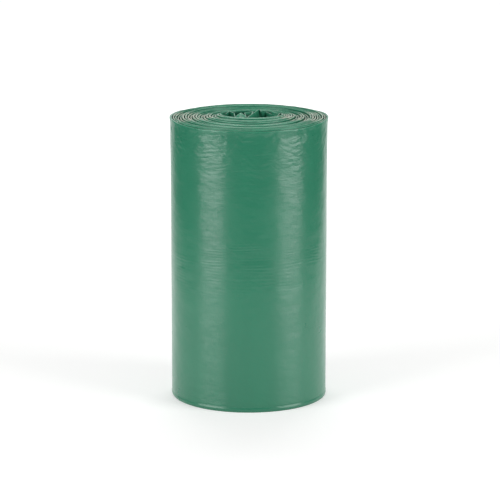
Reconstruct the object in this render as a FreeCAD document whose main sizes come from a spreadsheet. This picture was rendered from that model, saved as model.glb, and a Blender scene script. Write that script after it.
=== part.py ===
import FreeCAD, Part
import math
import os

# Coreless roll of folded film bags, standing on one end.
# Millimetres, +Z up, origin on the roll's axis at the foot, front towards -Y.
# The bags are one perforated web, folded lengthwise and wound up, so the roll is one solid:
# a spiral web whose turns lie a hair apart, with its inner end crumpled in the hollow. Where
# the hollow is dented, the layers of a turn lie looser, so the turn is thicker there.

Vector = FreeCAD.Vector

SIZES = [
    ("folded_width", 175.0, "width of the folded web, which is the height of the roll"),
    ("bundle", 2.6, "thickness of one turn's folded layers where they are wound tightest"),
    ("slack", 0.38, "gap between two turns, the same all along the web"),
    ("quarter_turns", 39, "quarter turns from the left of the hollow to the tail at the back"),
    ("tail_thickness", 0.5, "thickness that the last turn thins down to at its free edge"),
    ("hollow_reach", 19.4, "reach of the hollow from the axis on its right, widest side"),
    ("left_dent", 3.1, "how far the innermost turn has sunk in at the left"),
    ("back_dent", 1.0, "how far the innermost turn has sunk in at the back"),
    ("front_dent", 15.0, "how far the innermost turn has sunk in at the front"),
    ("outer_wrap_drop", 1.2, "how much lower the outermost turn ends than the ones inside it"),
    ("head_wave", 0.9, "how far the wound edges stand out of and below the head in bands"),
    ("head_rim", 0.8, "bevel of the outermost turn's edge at the head"),
    ("foot_rim", 2.5, "how far the outermost turn tucks under at the foot, in two bevels"),
    ("foot_recess", 3.0, "how far the innermost turns stay clear of the ground"),
    ("core_film", 1.0, "thickness of the crumpled film in the hollow"),
    ("crease_radius", 1.8, "bend radius of a crease in the crumpled film"),
    ("core_peak", 2.0, "height of the crumpled film's highest peak above the head"),
    ("core_dip", 5.0, "depth of the crumpled film's lowest fold below the head"),
]

doc = FreeCAD.newDocument("bin_bag_roll")
sheet = doc.addObject("Spreadsheet::Sheet", "Sizes")
for row, (alias, value, meaning) in enumerate(SIZES, start=1):
    sheet.set(f"A{row}", alias)
    sheet.set(f"B{row}", str(value))
    sheet.set(f"C{row}", meaning)
    sheet.setAlias(f"B{row}", alias)
doc.recompute()


def size(alias):
    """Value of one cell of the sheet."""
    return float(sheet.get(alias))


def shape_object(name, shape):
    """Document object that holds a shape made from the sheet's values."""
    item = doc.addObject("Part::Feature", name)
    item.Shape = shape
    item.Placement = FreeCAD.Placement()
    return item


def extrusion(name, base, way, length):
    """Straight extrusion of a section, its length bound to the sheet."""
    item = doc.addObject("Part::Extrusion", name)
    item.Base = base
    item.DirMode = "Custom"
    item.Dir = way
    item.Solid = True
    item.setExpression("LengthFwd", length)
    return item


# The spiral web. It crosses the four axes in turn, and between two crossings it runs along a
# quarter oval of two tangent arcs. Inside, the turns keep the dented outline of the
# hollow; towards the outside they even out to a circle.
LEFT, FRONT, RIGHT, BACK = range(4)
last_quarter = int(size("quarter_turns"))
pitch = size("bundle") + size("slack")
dents = {LEFT: size("left_dent"), FRONT: size("front_dent"), RIGHT: 0.0, BACK: size("back_dent")}
hollow_middle = Vector(dents[LEFT] / 2, (dents[FRONT] - dents[BACK]) / 2, 0)


def evenness(quarter):
    """Share of the hollow's dents that is left at this quarter turn."""
    return (1 - quarter / last_quarter) ** 2


def inner_reach(quarter):
    """Distance from the axis to the web's inner face where it crosses an axis."""
    return size("hollow_reach") - dents[quarter % 4] * evenness(quarter) + pitch * quarter / 4


def crossing(quarter, reach):
    """Point where the web crosses an axis."""
    middle = hollow_middle * evenness(quarter)
    return {
        LEFT: Vector(-reach, middle.y, 0),
        FRONT: Vector(middle.x, -reach, 0),
        RIGHT: Vector(reach, middle.y, 0),
        BACK: Vector(middle.x, reach, 0),
    }[quarter % 4]


def quarter_oval(start, end, starts_upright):
    """Two tangent arcs between two crossings, one upright there and the other level."""
    upright, level = (start, end) if starts_upright else (end, start)
    middle = Vector(level.x, upright.y, 0)
    across = (upright - middle).Length
    deep = (level - middle).Length
    chord = math.hypot(across, deep)
    way_across = (upright - middle).normalize()
    way_deep = (level - middle).normalize()
    join_angle = math.atan2(across, deep)
    arcs = []
    spans = (
        (upright, way_across, chord * (chord - across + deep) / (2 * across), 0, join_angle),
        (level, way_deep, chord * (chord + across - deep) / (2 * deep), join_angle, math.pi / 2),
    )
    for crossing_point, outward, radius, low, high in spans:
        centre = crossing_point - outward * radius
        ends = [
            centre + way_across * (radius * math.cos(turn)) + way_deep * (radius * math.sin(turn))
            for turn in (low, (low + high) / 2, high)
        ]
        arcs.append(Part.Arc(*ends).toShape())
    return arcs if starts_upright else arcs[::-1]


def inner_point(quarter):
    """Where the web's inner face crosses an axis."""
    return crossing(quarter, inner_reach(quarter))


def outer_point(quarter):
    """Where its outer face crosses: a hair inside the next turn, or on the thinning last turn."""
    next_turn = quarter + 4
    if next_turn <= last_quarter:
        return crossing(next_turn, inner_reach(next_turn) - size("slack"))
    bundle_share = (last_quarter - quarter) / 4
    thinned = (size("bundle") - size("tail_thickness")) * (1 - bundle_share)
    return crossing(quarter, inner_reach(quarter) + size("bundle") - thinned)


def web_face(point_of):
    """Edges of one face of the web, from its inner end to the tail."""
    points = [point_of(k) for k in range(last_quarter + 1)]
    edges = []
    for k in range(last_quarter):
        edges += quarter_oval(points[k], points[k + 1], k % 4 in (LEFT, RIGHT))
    return edges


def web_section():
    """Flat section of the whole spiral web."""
    inner = web_face(inner_point)
    outer = web_face(outer_point)
    core_end = Part.makeLine(outer_point(0), inner_point(0))
    tail_end = Part.makeLine(inner_point(last_quarter), outer_point(last_quarter))
    return Part.Face(Part.Wire([core_end] + inner + [tail_end] + outer[::-1]))


HEAD_BANDS = 3


def end_profile():
    """Half section of the space between head and foot, from the axis outwards."""
    height = size("folded_width")
    wave = size("head_wave")
    reach = max(outer_point(k).Length for k in range(last_quarter - 4, last_quarter + 1))
    wall = reach + size("slack")
    wrap = reach - size("bundle") - size("slack")
    head = size("head_rim")
    foot = size("foot_rim")
    low = height - size("outer_wrap_drop")
    band = (wrap - size("hollow_reach")) / HEAD_BANDS
    points = [Vector(0, 0, size("foot_recess"))]
    points.append(Vector(size("hollow_reach") - band / 2, 0, size("foot_recess")))
    points.append(Vector(size("hollow_reach") + band / 2, 0, 0))
    tuck = foot * (1 - math.sqrt(0.5))
    points.append(Vector(wall - foot, 0, 0))
    points.append(Vector(wall - tuck, 0, tuck))
    points.append(Vector(wall, 0, foot))
    points.append(Vector(wall, 0, low - head))
    points.append(Vector(wall - head - size("slack"), 0, low))
    points.append(Vector(wrap, 0, low))
    for k in range(HEAD_BANDS + 1):
        rise = 0 if k == 0 else wave * (-1) ** k
        points.append(Vector(wrap - size("slack") - band * k, 0, height + rise))
    points.append(Vector(0, 0, height))
    return Part.Face(Part.makePolygon(points + points[:1]))


# The crumpled inner end. Its folds are placed by the hollow's half width and half depth.
FOLDS = [
    (-0.92, 0.42), (-0.50, 0.62), (-0.30, -0.62), (-0.02, 0.30), (0.04, -0.55),
    (0.30, 0.80), (0.48, -0.35), (0.86, 0.10), (0.70, 0.50),
]


# The film's upper edge over the hollow: place across it, and share of the peak or the dip.
CROWN = [
    (-1.4, -0.2), (-0.80, -0.3), (-0.38, 0.7), (-0.10, -0.6), (0.10, -0.2),
    (0.30, 1.0), (0.46, -1.0), (0.78, -0.2), (0.95, 0.3), (1.4, -0.2),
]


def creased_wire(points, radius):
    """Straight runs joined by tangent arcs, one at each crease."""
    edges = []
    last = points[0]
    for before, crease, after in zip(points, points[1:], points[2:]):
        back = (before - crease).normalize()
        ahead = (after - crease).normalize()
        half = back.getAngle(ahead) / 2
        longest = 0.45 * min((before - crease).Length, (after - crease).Length)
        reach = min(radius / math.tan(half), longest)
        bend = reach * math.tan(half)
        start = crease + back * reach
        end = crease + ahead * reach
        middle = crease + (back + ahead).normalize() * (bend / math.sin(half) - bend)
        edges.append(Part.makeLine(last, start))
        edges.append(Part.Arc(start, middle, end).toShape())
        last = end
    edges.append(Part.makeLine(last, points[-1]))
    return Part.Wire(edges)


half_width = (inner_reach(LEFT) + inner_reach(RIGHT)) / 2
half_depth = (inner_reach(FRONT) + inner_reach(BACK)) / 2


def core_section():
    """Flat section of the crumpled film, which grows out of the web's inner end."""
    root = crossing(LEFT, inner_reach(LEFT) + size("core_film") / 2)
    points = [root - Vector(0, size("core_film"), 0)]
    for across, deep in FOLDS:
        points.append(hollow_middle + Vector(across * half_width, deep * half_depth, 0))
    wire = creased_wire(points, size("crease_radius"))
    return Part.Face(wire.makeOffset2D(size("core_film") / 2, 0, False, False, False))


def core_outline():
    """Front outline that the crumpled film is trimmed to: level below, ragged above."""
    points = [Vector(CROWN[-1][0] * half_width, 0, size("foot_recess"))]
    points.append(Vector(CROWN[0][0] * half_width, 0, size("foot_recess")))
    for across, share in CROWN:
        rise = share * (size("core_peak") if share > 0 else size("core_dip"))
        points.append(Vector(across * half_width, 0, size("folded_width") + rise))
    face = Part.Face(Part.makePolygon(points + points[:1]))
    face.translate(Vector(hollow_middle.x, -size("hollow_reach"), 0))
    return face


def common(name, base, tool):
    """Where two bodies overlap."""
    item = doc.addObject("Part::Common", name)
    item.Base = base
    item.Tool = tool
    return item


UP = Vector(0, 0, 1)
BACKWARDS = Vector(0, 1, 0)
web_height = "Sizes.folded_width + Sizes.head_wave"
web = extrusion("WebExtrusion", shape_object("WebSection", web_section()), UP, web_height)
envelope = doc.addObject("Part::Revolution", "EndEnvelope")
envelope.Source = shape_object("EndProfile", end_profile())
envelope.Axis = (0, 0, 1)
envelope.Angle = 360
envelope.Solid = True
wound = common("WoundWeb", web, envelope)
core_height = "Sizes.folded_width + Sizes.core_peak"
core = extrusion("CoreExtrusion", shape_object("CoreSection", core_section()), UP, core_height)
core_depth = "2 * Sizes.hollow_reach"
ragged = shape_object("CoreOutline", core_outline())
crown = extrusion("CoreCrown", ragged, BACKWARDS, core_depth)
crumpled = common("CrumpledCore", core, crown)
roll = doc.addObject("Part::Fuse", "BagRoll")
roll.Base = wound
roll.Tool = crumpled
roll.Label = "bag_roll"
doc.recompute()

for item in doc.Objects:
    if "Invalid" in item.State or "Error" in item.State:
        raise RuntimeError(f"{item.Name} did not recompute: {item.State}")
for part in [roll]:
    if part.Shape.isNull() or not part.Shape.isValid():
        raise RuntimeError(f"{part.Label} has no valid shape")
os.makedirs("parts", exist_ok=True)
for part in [roll]:
    part.Shape.exportStep(f"parts/{part.Label}.step")
    box = part.Shape.BoundBox
    print(part.Label, len(part.Shape.Solids), "solid", len(part.Shape.Faces), "faces",
          round(part.Shape.Volume), "mm3", box)
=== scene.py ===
import math

import bmesh
import bpy
import numpy
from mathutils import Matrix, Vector, noise


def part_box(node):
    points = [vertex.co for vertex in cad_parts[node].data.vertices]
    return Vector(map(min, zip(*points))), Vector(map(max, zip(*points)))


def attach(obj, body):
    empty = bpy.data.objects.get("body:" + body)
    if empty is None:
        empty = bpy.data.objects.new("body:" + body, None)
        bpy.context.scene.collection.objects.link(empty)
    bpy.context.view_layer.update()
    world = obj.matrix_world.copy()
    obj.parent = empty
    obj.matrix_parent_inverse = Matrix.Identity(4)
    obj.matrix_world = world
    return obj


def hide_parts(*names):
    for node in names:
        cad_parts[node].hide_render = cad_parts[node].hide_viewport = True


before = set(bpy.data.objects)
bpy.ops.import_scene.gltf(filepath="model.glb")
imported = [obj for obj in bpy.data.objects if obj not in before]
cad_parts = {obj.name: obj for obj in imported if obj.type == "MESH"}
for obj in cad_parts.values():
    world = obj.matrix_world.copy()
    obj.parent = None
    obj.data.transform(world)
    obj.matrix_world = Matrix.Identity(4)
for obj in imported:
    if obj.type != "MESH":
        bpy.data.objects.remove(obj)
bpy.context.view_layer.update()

bl_info = {
    "name": "Bin bag roll",
    "version": (1, 0, 0),
    "blender": (4, 5, 0),
    "location": "3D View > Sidebar > Bag roll",
    "description": "Builds a coreless roll of folded film bags on a plain studio floor",
    "category": "Object",
}

ROLL_LOW, ROLL_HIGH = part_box("bag_roll")
MM = 0.001
TURN = 2 * math.pi
BODY = "root"
NODE = "bag_roll"


# Settings that a user would change

class RollSizes(bpy.types.PropertyGroup):
    """Sizes of the wound web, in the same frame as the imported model."""

    head_height: bpy.props.FloatProperty(
        name="Head height", description="Height of the wound edges above the ground",
        default=ROLL_HIGH.z - 2 * MM, unit="LENGTH",
    )
    wall_reach: bpy.props.FloatProperty(
        name="Wall reach", description="Distance from the axis to the outside of the last turn",
        default=(ROLL_HIGH.x - ROLL_LOW.x) / 2 - 0.1 * MM, unit="LENGTH",
    )
    hollow_reach: bpy.props.FloatProperty(
        name="Hollow reach", description="Reach of the hollow on its right, widest side",
        default=19.4 * MM, unit="LENGTH",
    )
    left_dent: bpy.props.FloatProperty(
        name="Left dent", description="How far the innermost turn has sunk in at the left",
        default=3.1 * MM, unit="LENGTH",
    )
    back_dent: bpy.props.FloatProperty(
        name="Back dent", description="How far the innermost turn has sunk in at the back",
        default=1.0 * MM, unit="LENGTH",
    )
    front_dent: bpy.props.FloatProperty(
        name="Front dent", description="How far the innermost turn has sunk in at the front",
        default=15.0 * MM, unit="LENGTH",
    )
    turns: bpy.props.FloatProperty(
        name="Turns", description="Visible turns from the left of the hollow to the tail",
        default=19.75,
    )
    bundle: bpy.props.FloatProperty(
        name="Bundle", description="Thickness of the folded layers of one visible turn",
        default=1.10 * MM, unit="LENGTH",
    )
    tail: bpy.props.FloatProperty(
        name="Tail", description="Thickness of the free edge of the last turn",
        default=0.3 * MM, unit="LENGTH",
    )
    outer_drop: bpy.props.FloatProperty(
        name="Outer drop", description="How much lower the outermost turn ends",
        default=1.2 * MM, unit="LENGTH",
    )
    core_film: bpy.props.FloatProperty(
        name="Core film", description="Thickness of the crumpled film in the hollow",
        default=0.5 * MM, unit="LENGTH",
    )


class FilmLook(bpy.types.PropertyGroup):
    """Colours and gloss of the film, among them the colours of its painted highlights and glints."""

    wall_colour: bpy.props.FloatVectorProperty(
        name="Wall colour", description="Green of many layers of film seen flat on",
        subtype="COLOR", size=3, default=(0.021, 0.161, 0.092),
    )
    # Partly the edges' own paler green, partly painted highlight where the folded edges catch the
    # light; on the wall's rounded top it is painted highlight only.
    edge_and_highlight_colour: bpy.props.FloatVectorProperty(
        name="Edge colour", description="Paler green of the folded edges at the head",
        subtype="COLOR", size=3, default=(0.055, 0.330, 0.190),
    )
    # Painted glint: a pale beige painted where the film edges at the roll's left and right catch the
    # side light.
    painted_glint_colour: bpy.props.FloatVectorProperty(
        name="Glint colour", description="Pale colour of the glinting film along an edge",
        subtype="COLOR", size=3, default=(0.50, 0.50, 0.40),
    )
    roughness: bpy.props.FloatProperty(
        name="Roughness", description="Gloss of the smooth film",
        subtype="FACTOR", default=0.30, min=0.0, max=1.0,
    )


class StudioSetup(bpy.types.PropertyGroup):
    """Camera and light, after the photograph."""

    camera_back: bpy.props.FloatProperty(
        name="Camera distance", description="Level distance from the roll's axis",
        default=1.5866, unit="LENGTH",
    )
    camera_height: bpy.props.FloatProperty(
        name="Camera height", description="Height above the ground",
        default=0.4427, unit="LENGTH",
    )
    camera_side: bpy.props.FloatProperty(
        name="Camera side", description="Distance to the right of the roll's axis",
        default=0.00085, unit="LENGTH",
    )
    camera_pitch: bpy.props.FloatProperty(
        name="Camera pitch", description="Angle that the camera looks down by",
        default=0.2181, subtype="ANGLE",
    )
    lens: bpy.props.FloatProperty(
        name="Lens", description="Focal length in millimetres on a 36 mm sensor",
        default=188.75,
    )
    box_strength: bpy.props.FloatProperty(
        name="Soft box strength", description="Radiance of the two soft boxes, 1 is white",
        default=5.6,
    )
    back_strength: bpy.props.FloatProperty(
        name="Back box strength", description="Radiance of the soft box above and behind, 1 is white",
        default=3.0,
    )
    surround: bpy.props.FloatProperty(
        name="Surround", description="Radiance of the dim room in front of the roll",
        default=0.06,
    )
    backdrop: bpy.props.FloatProperty(
        name="Backdrop", description="Radiance of the white backdrop behind the roll",
        default=1.0,
    )


# Shader expressions

class Wire:
    """A socket that can be reckoned with: each sum adds its Math node."""

    def __init__(self, shader, socket):
        self.shader = shader
        self.socket = socket

    def maths(self, operation, *others):
        return self.shader.add("ShaderNodeMath", {"operation": operation}, [self, *others])[0]

    def __add__(self, other):
        return self.maths("ADD", other)

    __radd__ = __add__

    def __mul__(self, other):
        return self.maths("MULTIPLY", other)

    __rmul__ = __mul__

    def __sub__(self, other):
        return self.maths("SUBTRACT", other)

    def __rsub__(self, other):
        return self.shader.add("ShaderNodeMath", {"operation": "SUBTRACT"}, [other, self])[0]

    def __truediv__(self, other):
        return self.maths("DIVIDE", other)

    def __rtruediv__(self, other):
        return self.shader.add("ShaderNodeMath", {"operation": "DIVIDE"}, [other, self])[0]

    def __abs__(self):
        return self.maths("ABSOLUTE")

    def sine(self):
        return self.maths("SINE")

    def root(self):
        return self.maths("SQRT")

    def angle_from(self, other):
        """Angle of the direction whose sideways part is this and whose forward part is other."""
        return self.maths("ARCTAN2", other)

    def clamped(self):
        """This value, kept between 0 and 1."""
        kept = self.maths("ADD", 0.0)
        kept.socket.node.use_clamp = True
        return kept

    def ramp(self, low, high):
        """0 below low and 1 above high, with a smooth step between, or falling if low > high."""
        settings = {"interpolation_type": "SMOOTHSTEP"}
        if low > high:
            rising = self.shader.add("ShaderNodeMapRange", settings, [self, high, low])[0]
            return 1 - rising
        return self.shader.add("ShaderNodeMapRange", settings, [self, low, high])[0]


class Shader:
    """One node tree, built from plain calls."""

    def __init__(self, tree):
        self.tree = tree
        self.tree.nodes.clear()

    def add(self, kind, settings=None, inputs=()):
        """A node with its settings, its inputs by place or by name, and its outputs as wires."""
        node = self.tree.nodes.new(kind)
        for name, value in (settings or {}).items():
            setattr(node, name, value)
        pairs = inputs.items() if isinstance(inputs, dict) else enumerate(inputs)
        for key, value in pairs:
            if isinstance(value, Wire):
                self.tree.links.new(value.socket, node.inputs[key])
            elif value is not None:
                node.inputs[key].default_value = value
        return [Wire(self, socket) for socket in node.outputs]

    def place(self):
        """Where the surface is, in metres in the row frame."""
        return self.add("ShaderNodeTexCoord")[3]

    def parts(self, vector):
        return self.add("ShaderNodeSeparateXYZ", None, [vector])

    def joined(self, x, y, z):
        return self.add("ShaderNodeCombineXYZ", None, [x, y, z])[0]

    def shifted(self, vector, offset):
        settings = {"operation": "ADD"}
        return self.add("ShaderNodeVectorMath", settings, [vector, offset])[0]

    def noise(self, vector, scale, detail=2.0):
        """Soft noise between 0 and 1."""
        inputs = {"Vector": vector, "Scale": scale, "Detail": detail}
        return self.add("ShaderNodeTexNoise", None, inputs)[0]

    def cracks(self, vector):
        """Distance to the nearest edge of a crumpled pattern of cells that are about 1 wide."""
        inputs = {"Vector": vector, "Scale": 1.0}
        return self.add("ShaderNodeTexVoronoi", {"feature": "DISTANCE_TO_EDGE"}, inputs)[0]

    def blend(self, factor, one, other):
        """Colour between one and other."""
        node = self.tree.nodes.new("ShaderNodeMix")
        node.data_type = "RGBA"
        for socket, value in ((node.inputs[0], factor), (node.inputs[6], one), (node.inputs[7], other)):
            if isinstance(value, Wire):
                self.tree.links.new(value.socket, socket)
            elif isinstance(value, (int, float)):
                socket.default_value = value
            else:
                socket.default_value = (*value, 1.0)
        return Wire(self, node.outputs[2])

    def bump(self, height, distance, normal=None):
        inputs = {"Distance": distance, "Height": height, "Normal": normal}
        return self.add("ShaderNodeBump", None, inputs)[0]

    def finish(self, surface, kind="ShaderNodeOutputMaterial"):
        output = self.tree.nodes.new(kind)
        self.tree.links.new(surface.socket, output.inputs["Surface"])


def new_material(name):
    """An empty node material and its shader."""
    material = bpy.data.materials.new(name)
    material.use_nodes = True
    return material, Shader(material.node_tree)


# Finishes of the film

# The mesh attribute that holds how far a point lies below its film's free edge, in mm
EDGE = "below_edge"

# Refractive index of the flat film, and a lower one for the duller look of its cut edges
WALL_INDEX = 1.5
EDGE_INDEX = 1.33

# How far down its free edge the film is painted pale, partly its own paler edge and partly painted
# highlight, and so how deep the painted shade below reaches, in mm: in the wound turns and in the
# hollow
WOUND_RIM = 1.0
CORE_RIM = 3.2

# Depths of the film's unevenness: soft slack, streaks along the edges, creases and both ripples
SLACK_DEPTH = 0.40 * MM
SILK_DEPTH = 0.07 * MM
CREASE_DEPTH = 0.30 * MM
FINE_DEPTH = 0.055 * MM
HOOP_DEPTH = 0.016 * MM

# Layers of the gathered film's creases: slant in radians, length and width of a cell, and seed
CREASE_LAYERS = (
    (0.50, 18 * MM, 4.4 * MM, 3.0),
    (-0.62, 16 * MM, 3.8 * MM, 7.5),
    (0.10, 20 * MM, 3.0 * MM, 12.0),
)

# Distances below the head between which the wall's creases and fine ripples grow to full
GATHERED = (42 * MM, 4 * MM)
STRETCHED_BELOW = (6 * MM, 22 * MM)
STRETCHED_ABOVE = (78 * MM, 34 * MM)

# Heights above the ground between which the foot's creases and the hoop ripples grow to full
FOOT_CREASES = (17 * MM, 3 * MM)
HOOPS_ABOVE = (62 * MM, 82 * MM)
HOOPS_BELOW = (118 * MM, 98 * MM)


def around_wall(shader, place, reach):
    """Place on the roll's unrolled wall: along the hoop from the front, and up."""
    x, y, z = shader.parts(place)
    return x.angle_from(y * -1.0) * reach, z


def head_creases(shader, place, reach):
    """Facets and creases that cross at a slant where the film is gathered at the head."""
    along, up = around_wall(shader, place, reach)
    wander = shader.noise(place, 55.0) - 0.5
    height = 0.0
    for slant, length, width, seed in CREASE_LAYERS:
        run = along * (math.cos(slant) / length) + up * (math.sin(slant) / length)
        across = up * (math.cos(slant) / width) - along * (math.sin(slant) / width)
        spot = shader.joined(run + wander * 0.6, across + wander * 1.5, seed)
        patch = shader.noise(shader.shifted(place, (0.1 * seed, 0.0, 0.0)), 48.0, 1.0)
        height = shader.cracks(spot) * patch.ramp(0.36, 0.56) + height
    return height


def fine_ripples(shader, place, reach):
    """Small level ripples, as film shows that is stretched a little unevenly."""
    along, up = around_wall(shader, place, reach)
    ripple = shader.noise(shader.joined(along * 130.0, up * 520.0, 4.0), 1.0)
    return (ripple - 0.5) * 2.0


def hoop_ripples(shader, place, reach):
    """Fine ripples that run round the roll, one under another, in broken lengths."""
    along, up = around_wall(shader, place, reach)
    drift = shader.noise(shader.joined(along * 16.0, up * 30.0, 2.0), 1.0)
    wave = (up * 3300.0 + drift * 30.0).sine()
    patches = shader.noise(shader.joined(along * 34.0, up * 160.0, 8.0), 1.0)
    return wave * patches.ramp(0.38, 0.66)


def film_green(shader, place, look):
    """The film's green, in soft clouds and upright streaks, and how rough it is."""
    x, y, z = shader.parts(place)
    cloud = shader.noise(place, 28.0, 3.0)
    streak = shader.noise(shader.joined(x, y, z * 0.15), 90.0)
    tint = (cloud - 0.5) * 0.5 + (streak - 0.5) * 0.35 + 0.5
    deep = tuple(0.86 * c for c in look.wall_colour)
    bright = tuple(1.16 * c for c in look.wall_colour)
    grain = shader.noise(place, 260.0, 3.0)
    roughness = (cloud - 0.5) * 0.10 + (grain - 0.5) * 0.06 + look.roughness
    return shader.blend(tint.clamped(), deep, bright), roughness


def edge_finish(shader, place, look, below, rim, colour, normal):
    """Pale free edge, partly painted highlight, over painted shade in the gap below it, with painted
    glints at the roll's left and right, and fine streaks.
    """
    x, y, z = shader.parts(place)
    radius = (x * x + y * y).root()
    hoop = x.angle_from(y * -1.0) * 9.0
    silk = shader.noise(shader.joined(hoop, z * 60.0, radius * 1500.0), 1.0)
    # Painted shade: the film further below its free edge, down in the gaps between turns and in the
    # hollow, is painted darker.
    gap = below.ramp(0.45 * rim, 1.6 * rim)
    colour = shader.blend(gap * 0.50, colour, tuple(0.30 * c for c in look.wall_colour))
    # Pale free edge: partly the edges' own paler green, partly painted highlight where the edges catch
    # the light.
    pale = below.ramp(0.55 * rim, 0.05 * rim) * (silk.ramp(0.30, 0.68) * 0.65 + 0.08)
    colour = shader.blend(pale, colour, tuple(look.edge_and_highlight_colour))
    # Painted glint: pale beige specks on the free edges at the roll's left and right, where they catch
    # the side light, and faintly all round.
    ends = (abs(x) / radius).ramp(0.88, 0.99) * radius.ramp(14 * MM, 24 * MM)
    speck = shader.noise(place, 330.0).ramp(0.38, 0.56)
    painted_glint = below.ramp(0.6, 0.05) * speck * (ends * 0.70 + 0.03)
    colour = shader.blend(painted_glint, colour, tuple(look.painted_glint_colour))
    return colour, shader.bump(silk, SILK_DEPTH, normal)


def wall_finish(shader, place, look, below, reach, height, colour, normal):
    """Painted highlight along the rounded top, creases at the head and the foot, fine ripples below the
    head, hoop ripples in the middle.
    """
    z = shader.parts(place)[2]
    # Painted highlight: the top 0.9 mm of the wall, its rounded rim, is painted towards the pale edge
    # colour.
    colour = shader.blend(below.ramp(0.9, 0.1) * 0.3, colour, tuple(look.edge_and_highlight_colour))
    below_head = height - z
    gathered = below_head.ramp(*GATHERED)
    stretched = below_head.ramp(*STRETCHED_ABOVE) * below_head.ramp(*STRETCHED_BELOW)
    creased = gathered + z.ramp(*FOOT_CREASES) * 0.3
    normal = shader.bump(head_creases(shader, place, reach) * creased, CREASE_DEPTH, normal)
    rippled = stretched * 0.85 + gathered * 0.5 + 0.10
    normal = shader.bump(fine_ripples(shader, place, reach) * rippled, FINE_DEPTH, normal)
    hooped = z.ramp(*HOOPS_ABOVE) * z.ramp(*HOOPS_BELOW)
    return colour, shader.bump(hoop_ripples(shader, place, reach) * hooped, HOOP_DEPTH, normal)


def film_material(name, look, reach, height, rim=0.0):
    """Glossy green film. Rim is how far down its free edge is painted pale, partly as highlight, over
    painted shade, or 0 for the wall.
    """
    material, shader = new_material(name)
    place = shader.place()
    x, y, z = shader.parts(place)
    colour, roughness = film_green(shader, place, look)
    slack = shader.noise(shader.joined(x, y, z * 1.6), 70.0)
    normal = shader.bump(slack, SLACK_DEPTH)
    below = shader.add("ShaderNodeAttribute", {"attribute_name": EDGE})[2]
    if rim > 0:
        colour, normal = edge_finish(shader, place, look, below, rim, colour, normal)
        index = EDGE_INDEX
    else:
        colour, normal = wall_finish(shader, place, look, below, reach, height, colour, normal)
        index = WALL_INDEX
    inputs = {"Base Color": colour, "Roughness": roughness, "IOR": index, "Normal": normal}
    shader.finish(shader.add("ShaderNodeBsdfPrincipled", None, inputs)[0])
    return material


# The winding, shared by the pieces

class Winding:
    """Plan of the wound web: an oval in the hollow that evens out to a circle outside."""

    def __init__(self, sizes):
        self.sizes = sizes
        self.total = sizes.turns * TURN
        last = sizes.wall_reach - sizes.tail
        self.rise = last - sizes.hollow_reach

    def dent_share(self, turn):
        """1 at the dented hollow, falling to 0 at the round wall."""
        return (1 - turn / self.total) ** 2

    def plan(self, turn, lift):
        """Point and outward direction at this turn angle, lift above the web's inner face."""
        sizes = self.sizes
        dent = self.dent_share(turn)
        reach = sizes.hollow_reach + self.rise * turn / self.total
        middle_x = sizes.left_dent / 2 * dent
        middle_y = (sizes.front_dent - sizes.back_dent) / 2 * dent
        wide = reach - sizes.left_dent / 2 * dent
        deep = reach - (sizes.front_dent + sizes.back_dent) / 2 * dent
        angle = math.pi + turn
        cosine = numpy.cos(angle)
        sine = numpy.sin(angle)
        out_x = cosine / wide
        out_y = sine / deep
        length = numpy.hypot(out_x, out_y)
        out_x = out_x / length
        out_y = out_y / length
        x = middle_x + wide * cosine + out_x * lift
        y = middle_y + deep * sine + out_y * lift
        return x, y, out_x, out_y

    def mean_pitch(self):
        return self.rise / self.sizes.turns

    def local_pitch(self, turn):
        """Distance from this turn out to the next, larger where the hollow is dented."""
        x, y, out_x, out_y = self.plan(turn, 0.0)
        next_x, next_y, _, _ = self.plan(turn + TURN, 0.0)
        return (next_x - x) * out_x + (next_y - y) * out_y


def smooth_noise(values, seed, octaves=2):
    """Noise between about -1 and 1 at each value, the same on every run."""
    return numpy.array([
        noise.fractal(Vector((value, seed, 0.37)), 0.6, 2.0, octaves) for value in values
    ])


def rising(values, low, high):
    """0 below low and 1 above high, with a smooth step between."""
    share = numpy.clip((values - low) / (high - low), 0.0, 1.0)
    return share * share * (3 - 2 * share)


def head_line(winding, turn):
    """Height of the web's upper edge along the winding: bands that stand out and sink in."""
    share = turn / winding.total
    angle = math.pi + turn
    front = numpy.clip(-numpy.sin(angle), 0.0, 1.0)
    # The turns round the hollow stand up, the next ones are sunk, and the outer ones rise in part
    sunk = rising(share, 0.19, 0.26) * (1.2 - 0.7 * rising(share, 0.50, 0.64))
    # Groups of a few turns stand out and sink in, but for the outermost ones
    inside = 1 - rising(share, 0.84, 0.96)
    groups = 0.45 * numpy.tanh(2.4 * numpy.sin(share * 4.6 * TURN + 0.9)) * inside
    # The whole head leans a little, its turns differ and their edges are frayed
    sway = 0.25 * numpy.sin(angle + share * 9.0) * numpy.sin(share * math.pi)
    step = 0.30 * smooth_noise(turn / TURN * 1.35, 11.0)
    fray = 0.12 * smooth_noise(turn * 5.0, 23.0)
    rise = -sunk * (0.25 + 0.75 * front) + groups + sway + step + fray
    return winding.sizes.head_height + rise * MM


def mesh_object(name, vertices, faces, material):
    """A smooth mesh with one material."""
    mesh = bpy.data.meshes.new(name)
    mesh.from_pydata([tuple(v) for v in vertices], [], faces)
    mesh.validate()
    mesh.polygons.foreach_set("use_smooth", [True] * len(mesh.polygons))
    mesh.materials.append(material)
    mesh.update()
    piece = bpy.data.objects.new(name, mesh)
    bpy.context.scene.collection.objects.link(piece)
    return piece


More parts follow.
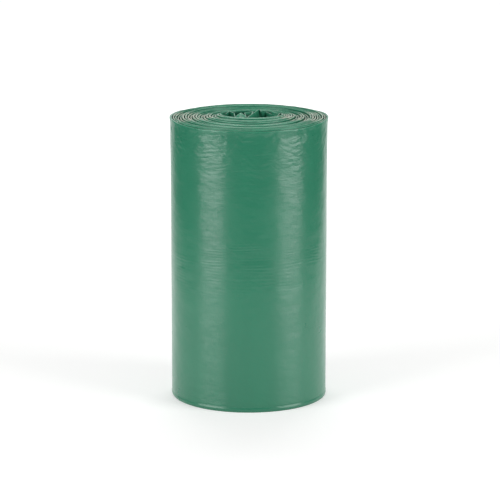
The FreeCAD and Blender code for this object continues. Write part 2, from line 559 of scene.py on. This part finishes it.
def strip_mesh(name, rings, below, material):
    """A closed strip: each ring is its cross-section at one station. Below goes to EDGE."""
    stations, around, _ = rings.shape
    faces = []
    for i in range(stations - 1):
        low = i * around
        high = low + around
        for j in range(around):
            k = (j + 1) % around
            faces.append((low + j, low + k, high + k, high + j))
    last = (stations - 1) * around
    faces.append(tuple(range(around - 1, -1, -1)))
    faces.append(tuple(last + j for j in range(around)))
    piece = mesh_object(name, rings.reshape(-1, 3), faces, material)
    mesh = bmesh.new()
    mesh.from_mesh(piece.data)
    bmesh.ops.recalc_face_normals(mesh, faces=mesh.faces)
    mesh.to_mesh(piece.data)
    mesh.free()
    edge = piece.data.attributes.new(EDGE, "FLOAT", "POINT")
    edge.data.foreach_set("value", numpy.ascontiguousarray(below, dtype=numpy.float32).ravel())
    return piece


def belongs(piece):
    """The piece rides on the roll."""
    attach(piece, BODY)


# Pieces

WOUND_STEPS = 190  # stations in each turn of the web
END_ROOM = 0.03  # angle in radians by which the web stops short of the outermost turn
FOOT_RECESS = 2.5 * MM  # how far the innermost turns stay clear of the ground
FAR_BELOW = 100.0  # stands in EDGE for the foot, which is far from the free edge

# Cross-section of a turn: share of its thickness from its inner face, and how far it lies below the
# free edge in mm, or None at the foot
TURN_PROFILE = (
    (0.0, None), (0.0, 9.0), (0.0, 3.0), (0.02, 1.2), (0.08, 0.45), (0.25, 0.08), (0.5, 0.0),
    (0.75, 0.08), (0.92, 0.45), (0.98, 1.2), (1.0, 3.0), (1.0, 9.0), (1.0, None),
)


def make_wound_turns(sizes, material):
    """All turns but the last: a thick web with rounded, slightly crinkled upper edges."""
    winding = Winding(sizes)
    stations = int(sizes.turns - 1) * WOUND_STEPS
    turn = numpy.linspace(0.0, winding.total - TURN - END_ROOM, stations)
    head = head_line(winding, turn)
    shift = 0.10 * MM * smooth_noise(turn * 1.3, 5.0)
    flare = 0.16 * MM * smooth_noise(turn * 7.0, 71.0)
    recess = FOOT_RECESS * numpy.clip((winding.dent_share(turn) - 0.45) / 0.4, 0.0, 1.0)
    front = numpy.clip(-numpy.sin(math.pi + turn), 0.0, 1.0)
    gap = (winding.mean_pitch() - sizes.bundle) * (1 - 0.85 * front)
    bundle = winding.local_pitch(turn) - gap
    rings = numpy.zeros((stations, len(TURN_PROFILE), 3))
    edge = numpy.zeros((stations, len(TURN_PROFILE)))
    for j, (share, below) in enumerate(TURN_PROFILE):
        at_foot = below is None
        side = shift if at_foot else shift + flare * math.exp(-below / 2.0)
        x, y, out_x, out_y = winding.plan(turn, share * bundle)
        rings[:, j, 0] = x + out_x * side
        rings[:, j, 1] = y + out_y * side
        rings[:, j, 2] = recess if at_foot else head - below * MM
        edge[:, j] = FAR_BELOW if at_foot else below
    piece = strip_mesh("wound_turns", rings, edge, material)
    belongs(piece)
    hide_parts(NODE)
    return piece


WRAP_STEPS = 360  # stations round the outermost turn
OVERLAP = 0.02  # angle in radians by which the outermost turn is longer than once round
TUCK = 1.0 * MM  # radius of the foot that tucks under
TUCK_STEPS = 6
LIP = 0.4 * MM  # radius of the rounded outer head
LIP_STEPS = 4
HEAD_REACH = 9 * MM  # how far down the wall a change of the head's height fades out


def bell(distance, width):
    """1 at no distance, falling to nothing over about two widths."""
    return math.exp(-((distance / width) ** 2))


def wrap_relief(angle, z, head):
    """How far the outermost film stands off its smooth wall. The sizes within are in mm."""
    ring_x = math.cos(angle)
    ring_y = math.sin(angle)
    below = max(head - z, 0.0) / MM
    above = z / MM
    soft = noise.fractal(Vector((ring_x * 1.6, ring_y * 1.6, z * 14.0)), 0.7, 2.0, 2)
    crumple = noise.fractal(Vector((ring_x * 7.0, ring_y * 7.0, z * 90.0)), 0.6, 2.0, 3)
    pinch = noise.noise(Vector((ring_x * 11.0, ring_y * 11.0, 3.0 + z * 60.0)))
    flare = 0.36 * bell(below, 2.4) + 0.20 * bell(below, 18.0)
    bead = 0.22 * bell(above - 1.9, 0.55)
    groove = 0.12 * bell(above - 3.1, 0.5)
    relief = 0.15 * soft + 0.22 * math.exp(-below / 14.0) * crumple + flare
    relief += bead - groove + 0.12 * pinch * math.exp(-above / 9.0)
    return relief * MM


def wall_levels(low, high):
    """Heights up the wall: close together near the foot and the head, wider apart between."""
    close = 0.3 * MM
    wide = 1.2 * MM
    levels = []
    z = low
    while z < high - 0.2 * MM:
        levels.append(z)
        from_end = min(z - low, high - z)
        z += close + (wide - close) * min(from_end / (9 * MM), 1.0)
    return levels


def wrap_profile(head, bundle):
    """Cross-section of the outermost turn: tucked foot, outer wall, rounded head, inner wall."""
    rows = []
    for k in range(TUCK_STEPS):
        lean = math.pi / 2 * k / TUCK_STEPS
        rows.append((bundle - TUCK * (1 - math.sin(lean)), TUCK * (1 - math.cos(lean))))
    high = head - LIP
    rows += [(bundle, z) for z in wall_levels(TUCK, high)]
    for k in range(LIP_STEPS + 1):
        lean = math.pi / 2 * k / LIP_STEPS
        rows.append((bundle - LIP * (1 - math.cos(lean)), high + LIP * math.sin(lean)))
    rows.append((0.1 * MM, head - 0.1 * MM))
    rows.append((0.0, head - 0.8 * MM))
    rows.append((0.0, TUCK))
    return rows


def make_outer_wrap(sizes, material):
    """The last turn, which shows as the roll's wall and ends in the tail at the back."""
    winding = Winding(sizes)
    turn = numpy.linspace(winding.total - TURN - OVERLAP, winding.total, WRAP_STEPS)
    top = sizes.head_height - sizes.outer_drop
    wander = 0.22 * MM * smooth_noise(turn * 2.2, 41.0, 3)
    profile = wrap_profile(top, sizes.bundle)
    rings = []
    for step, drift in zip(turn, wander):
        to_tail = max(0.0, 1 - (winding.total - step) / TURN)
        thinned = (sizes.bundle + (sizes.tail - sizes.bundle) * to_tail) / sizes.bundle
        angle = math.pi + step
        front = min(1.0, max(0.0, -math.sin(angle) * 1.3))
        back = max(0.0, math.sin(angle))
        head_rise = sizes.outer_drop * (1.25 * (1 - front) - 0.90 * back) + drift
        ring = []
        for lift, z in profile:
            outer = lift >= sizes.bundle * 0.5
            relief = wrap_relief(angle, z, top) if outer else 0.0
            x, y, out_x, out_y = winding.plan(step, lift * thinned + relief)
            rise = head_rise * math.exp(-(top - z) / HEAD_REACH)
            ring.append((x, y, max(z + rise, 0.0)))
        rings.append(ring)
    below = [[(top - z) / MM for lift, z in profile]] * len(rings)
    piece = strip_mesh("outer_wrap", numpy.array(rings), below, material)
    belongs(piece)
    return piece


# The crumpled inner end. Each crease runs straight up from its foot to a knee and leans from there
# to the film's free edge: foot (x, y), knee (x, y, z) and edge (x, y, z), in mm, z from the head.
CREASES = [
    ((-16.9, 6.0), (-16.9, 6.0, -6.0), (-16.8, 5.8, -0.6)),
    ((-16.2, 9.6), (-16.0, 9.4, -6.0), (-17.2, 9.0, 0.4)),
    ((-13.2, 11.0), (-13.5, 11.5, -5.0), (-14.4, 10.6, -0.4)),
    ((-11.0, 13.6), (-10.5, 12.6, -5.0), (-11.6, 15.0, 0.8)),
    ((-7.4, 13.6), (-7.6, 11.0, -5.0), (-8.8, 10.0, 0.2)),
    ((-5.6, 6.5), (-8.7, 1.2, -2.2), (-8.2, 0.8, -0.6)),
    ((-4.2, -0.6), (-4.8, -1.4, -2.4), (-4.8, 6.6, 1.15)),
    ((-2.6, 1.6), (-1.5, -0.4, -2.2), (-1.4, 0.6, -0.5)),
    ((-1.0, 8.0), (-1.6, 9.0, -4.5), (-2.4, 11.5, 0.3)),
    ((1.2, 10.4), (1.0, 9.5, -4.0), (2.6, 13.8, 0.9)),
    ((1.6, 4.0), (0.4, 3.0, -4.0), (1.2, 5.0, -0.9)),
    ((1.4, 0.4), (0.0, -1.4, -2.6), (-0.6, -1.2, -0.4)),
    ((4.4, 9.0), (4.0, 6.0, -3.4), (3.2, 8.0, 0.9)),
    ((6.9, 15.2), (6.8, 12.0, -4.0), (6.4, 15.8, 1.9)),
    ((8.2, 13.6), (8.4, 13.0, -4.0), (8.2, 12.8, 0.9)),
    ((10.6, 14.8), (10.8, 14.6, -4.0), (10.8, 15.2, 0.2)),
    ((13.4, 10.6), (13.6, 10.2, -4.0), (13.8, 10.6, -0.4)),
    ((16.9, 7.6), (17.0, 6.8, -4.0), (17.8, 5.2, -0.3)),
    ((18.3, 9.4), (18.2, 9.0, -4.0), (18.9, 8.6, 0.5)),
    ((16.2, 11.2), (16.2, 11.2, -4.0), (17.0, 11.2, 0.2)),
    ((14.0, 13.4), (14.2, 13.6, -4.0), (14.6, 14.6, 0.6)),
]
CREASE_STEPS = 5  # columns between two creases
LEAN_STEPS = 5  # points from a knee to the free edge
FILM_FOOT = 3 * MM  # how far the film in the hollow stays clear of the ground
STRAIGHT_END = 14 * MM  # how far below the knee the straight part ends
CRUSH = 0.35 * MM  # how far the film is crushed to the side, at most


def crease_columns():
    """Foot, knee and edge of each column of the film in the hollow, evenly between the creases."""
    columns = []
    for one, other in zip(CREASES, CREASES[1:]):
        for k in range(CREASE_STEPS):
            share = k / CREASE_STEPS
            columns.append([Vector(p).lerp(Vector(q), share) for p, q in zip(one, other)])
    columns.append([Vector(p) for p in CREASES[-1]])
    return columns


def film_line(column, head):
    """Points up one column: straight up, then leaning, and slightly crushed."""
    foot, knee, edge = column
    low = Vector((foot.x * MM, foot.y * MM, FILM_FOOT))
    bend = head + knee * MM
    free = head + edge * MM
    line = [bend.lerp(low, 0.05), bend]
    line += [bend.lerp(free, k / LEAN_STEPS) for k in range(1, LEAN_STEPS + 1)]
    crushed = [low, Vector((low.x, low.y, bend.z - STRAIGHT_END))]
    for point in line:
        crush = noise.noise_vector(point * 260.0) * CRUSH
        crushed.append(point + Vector((crush.x, crush.y, crush.z * 0.3)))
    return crushed, [(free.z - point.z) / MM for point in crushed]


def make_core_film(sizes, material):
    """The web's inner end, crumpled across the hollow."""
    head = Vector((0.0, 0.0, sizes.head_height))
    lines, below = zip(*[film_line(column, head) for column in crease_columns()])
    rings = []
    for i, line in enumerate(lines):
        before = lines[max(i - 1, 0)]
        after = lines[min(i + 1, len(lines) - 1)]
        one_side = []
        other_side = []
        for point, behind, ahead in zip(line, before, after):
            way = ahead - behind
            out = Vector((-way.y, way.x, 0.0)).normalized() * (sizes.core_film / 2)
            one_side.append(point + out)
            other_side.append(point - out)
        rings.append(one_side + other_side[::-1])
    depths = [depth + depth[::-1] for depth in below]
    piece = strip_mesh("core_film", numpy.array(rings), depths, material)
    piece.data.polygons.foreach_set("use_smooth", [False] * len(piece.data.polygons))
    belongs(piece)
    return piece


# Stage

# The white paper sweep: how far it reaches to each side, in front and behind, in metres
SHEET_SIDE = 0.40
SHEET_FRONT = -0.42
SHEET_BACK = 4.0
WHITE = (1.0, 1.0, 1.0, 1.0)


def paper_light(shader, glossy_ray):
    """How bright the paper is by itself: more towards the backdrop, and near the roll a glow that only
    reflections see, painted light that brightens the wall's lower part, left out close to the roll
    where the paper lies in the roll's shade.
    """
    x, y, z = shader.parts(shader.place())
    far = y.ramp(0.2, 1.4) * 0.3
    clear_of_roll = (x * x + y * y).root().ramp(0.05, 0.22)
    # Painted light: glossy rays alone see this glow in front of the roll, and it is left out close to
    # the roll as painted shade.
    near = clear_of_roll * y.ramp(0.35, 0.05) * glossy_ray * 0.12
    return far + near + 0.34


def make_floor():
    """A glossy white paper sweep that ends a little way in front of the roll and beside it."""
    material, shader = new_material("studio_floor")
    rays = shader.add("ShaderNodeLightPath")
    camera_ray, glossy_ray = rays[0], rays[3]
    level = paper_light(shader, glossy_ray)
    lit = {"Color": shader.joined(level, level, level), "Strength": 1.0}
    lift = shader.add("ShaderNodeEmission", None, lit)[0]
    plain = shader.add("ShaderNodeBsdfDiffuse", None, {"Color": (0.80, 0.80, 0.79, 1.0)})[0]
    seen = shader.add("ShaderNodeBsdfDiffuse", None, {"Color": (0.70, 0.70, 0.695, 1.0)})[0]
    both = shader.add("ShaderNodeAddShader", None, [seen, lift])[0]
    polish = shader.add("ShaderNodeBsdfGlossy", None, {"Color": WHITE, "Roughness": 0.3})[0]
    sheen = shader.add("ShaderNodeFresnel", None, {"IOR": 1.5})[0] * glossy_ray * 0.75
    glare = shader.add("ShaderNodeMixShader", None, [sheen, None, polish])[0]
    sheet = shader.add("ShaderNodeAddShader", None, [both, glare])[0]
    direct = (camera_ray + glossy_ray).clamped()
    shader.finish(shader.add("ShaderNodeMixShader", None, [direct, plain, sheet])[0])
    corners = [
        (-SHEET_SIDE, SHEET_FRONT, 0.0), (SHEET_SIDE, SHEET_FRONT, 0.0),
        (SHEET_SIDE, SHEET_BACK, 0.0), (-SHEET_SIDE, SHEET_BACK, 0.0),
    ]
    floor = mesh_object("floor", corners, [(0, 1, 2, 3)], material)
    return floor


def make_soft_box(name, strength, azimuth, width, height, distance, level, aim_level):
    """A soft box that faces the roll's axis, unseen by the camera. Azimuth 0 is in front."""
    light = bpy.data.lights.new(name, "AREA")
    light.shape = "RECTANGLE"
    light.size = width
    light.size_y = height
    light.energy = strength * math.pi * width * height
    lamp = bpy.data.objects.new(name, light)
    bpy.context.scene.collection.objects.link(lamp)
    turn = math.radians(azimuth)
    lamp.location = (math.sin(turn) * distance, -math.cos(turn) * distance, level)
    aim = Vector((0.0, 0.0, aim_level)) - lamp.location
    lamp.rotation_euler = aim.to_track_quat("-Z", "Y").to_euler()
    lamp.visible_camera = False
    return lamp


def make_soft_boxes(studio):
    """One at each side, which make the wall's bright bands, and one above and behind."""
    beside = {"width": 0.78, "height": 1.25, "distance": 1.25, "level": 0.50, "aim_level": 0.50}
    above = {"width": 1.20, "height": 1.0, "distance": 1.10, "level": 1.50, "aim_level": 0.0}
    make_soft_box("left_soft_box", studio.box_strength, azimuth=-55.0, **beside)
    make_soft_box("right_soft_box", studio.box_strength, azimuth=63.0, **beside)
    make_soft_box("back_soft_box", studio.back_strength, azimuth=180.0, **above)


def make_world(studio):
    """White to the camera; for light and gloss, a dim room with a white backdrop behind."""
    world = bpy.data.worlds.new("studio")
    world.use_nodes = True
    bpy.context.scene.world = world
    shader = Shader(world.node_tree)
    camera_ray = shader.add("ShaderNodeLightPath")[0]
    x, y, z = shader.parts(shader.add("ShaderNodeTexCoord")[0])
    behind = y.ramp(0.68, 0.90)
    beside = abs(x).ramp(0.5, 0.9)
    above = z.ramp(0.35, 0.9)
    level = behind * (studio.backdrop - studio.surround) + studio.surround
    level = level * (1 - beside * 0.5) + above * 0.45
    seen = camera_ray * (1 - level) + level
    lit = {"Color": shader.joined(seen, seen, seen), "Strength": 1.0}
    shader.finish(shader.add("ShaderNodeBackground", None, lit)[0], "ShaderNodeOutputWorld")


def make_camera(studio):
    """The photograph's viewpoint."""
    data = bpy.data.cameras.new("camera")
    data.lens = studio.lens
    data.sensor_width = 36.0
    data.clip_end = 20.0
    camera = bpy.data.objects.new("camera", data)
    camera.location = (studio.camera_side, -studio.camera_back, studio.camera_height)
    camera.rotation_euler = (math.pi / 2 - studio.camera_pitch, 0.0, 0.0)
    bpy.context.scene.collection.objects.link(camera)
    bpy.context.scene.camera = camera


# Operators, panel and registration

class BAGROLL_OT_wound_turns(bpy.types.Operator):
    """Build the wound web, all turns but the outermost"""

    bl_idname = "bagroll.wound_turns"
    bl_label = "Wound turns"

    def execute(self, context):
        sizes = context.scene.bagroll_sizes
        look = context.scene.bagroll_look
        film = film_material("wound_film", look, sizes.wall_reach, sizes.head_height, WOUND_RIM)
        make_wound_turns(sizes, film)
        return {"FINISHED"}


class BAGROLL_OT_core_film(bpy.types.Operator):
    """Build the crumpled film in the hollow"""

    bl_idname = "bagroll.core_film"
    bl_label = "Crumpled film"

    def execute(self, context):
        sizes = context.scene.bagroll_sizes
        look = context.scene.bagroll_look
        film = film_material("core_film", look, sizes.wall_reach, sizes.head_height, CORE_RIM)
        make_core_film(sizes, film)
        return {"FINISHED"}


class BAGROLL_OT_outer_wrap(bpy.types.Operator):
    """Build the outermost turn, which shows as the wall"""

    bl_idname = "bagroll.outer_wrap"
    bl_label = "Outermost turn"

    def execute(self, context):
        sizes = context.scene.bagroll_sizes
        look = context.scene.bagroll_look
        wall_head = sizes.head_height - sizes.outer_drop
        make_outer_wrap(sizes, film_material("wall_film", look, sizes.wall_reach, wall_head))
        return {"FINISHED"}


class BAGROLL_OT_stage(bpy.types.Operator):
    """Build the floor, the soft boxes, the surround and the camera"""

    bl_idname = "bagroll.stage"
    bl_label = "Stage"

    def execute(self, context):
        studio = context.scene.bagroll_studio
        make_floor()
        make_soft_boxes(studio)
        make_world(studio)
        make_camera(studio)
        context.scene.view_settings.view_transform = "Standard"
        return {"FINISHED"}


class BAGROLL_PT_panel(bpy.types.Panel):
    """Steps that build the bag roll, in order"""

    bl_label = "Bag roll"
    bl_idname = "BAGROLL_PT_panel"
    bl_space_type = "VIEW_3D"
    bl_region_type = "UI"
    bl_category = "Bag roll"

    def draw(self, context):
        for operator in OPERATORS:
            self.layout.operator(operator.bl_idname)


OPERATORS = (
    BAGROLL_OT_wound_turns, BAGROLL_OT_core_film, BAGROLL_OT_outer_wrap, BAGROLL_OT_stage,
)
CLASSES = (RollSizes, FilmLook, StudioSetup, *OPERATORS, BAGROLL_PT_panel)


def register():
    for cls in CLASSES:
        bpy.utils.register_class(cls)
    bpy.types.Scene.bagroll_sizes = bpy.props.PointerProperty(type=RollSizes)
    bpy.types.Scene.bagroll_look = bpy.props.PointerProperty(type=FilmLook)
    bpy.types.Scene.bagroll_studio = bpy.props.PointerProperty(type=StudioSetup)


def unregister():
    del bpy.types.Scene.bagroll_studio
    del bpy.types.Scene.bagroll_look
    del bpy.types.Scene.bagroll_sizes
    for cls in reversed(CLASSES):
        bpy.utils.unregister_class(cls)


def main():
    register()
    bpy.ops.bagroll.wound_turns()
    bpy.ops.bagroll.core_film()
    bpy.ops.bagroll.outer_wrap()
    bpy.ops.bagroll.stage()


if __name__ == "__main__":
    main()
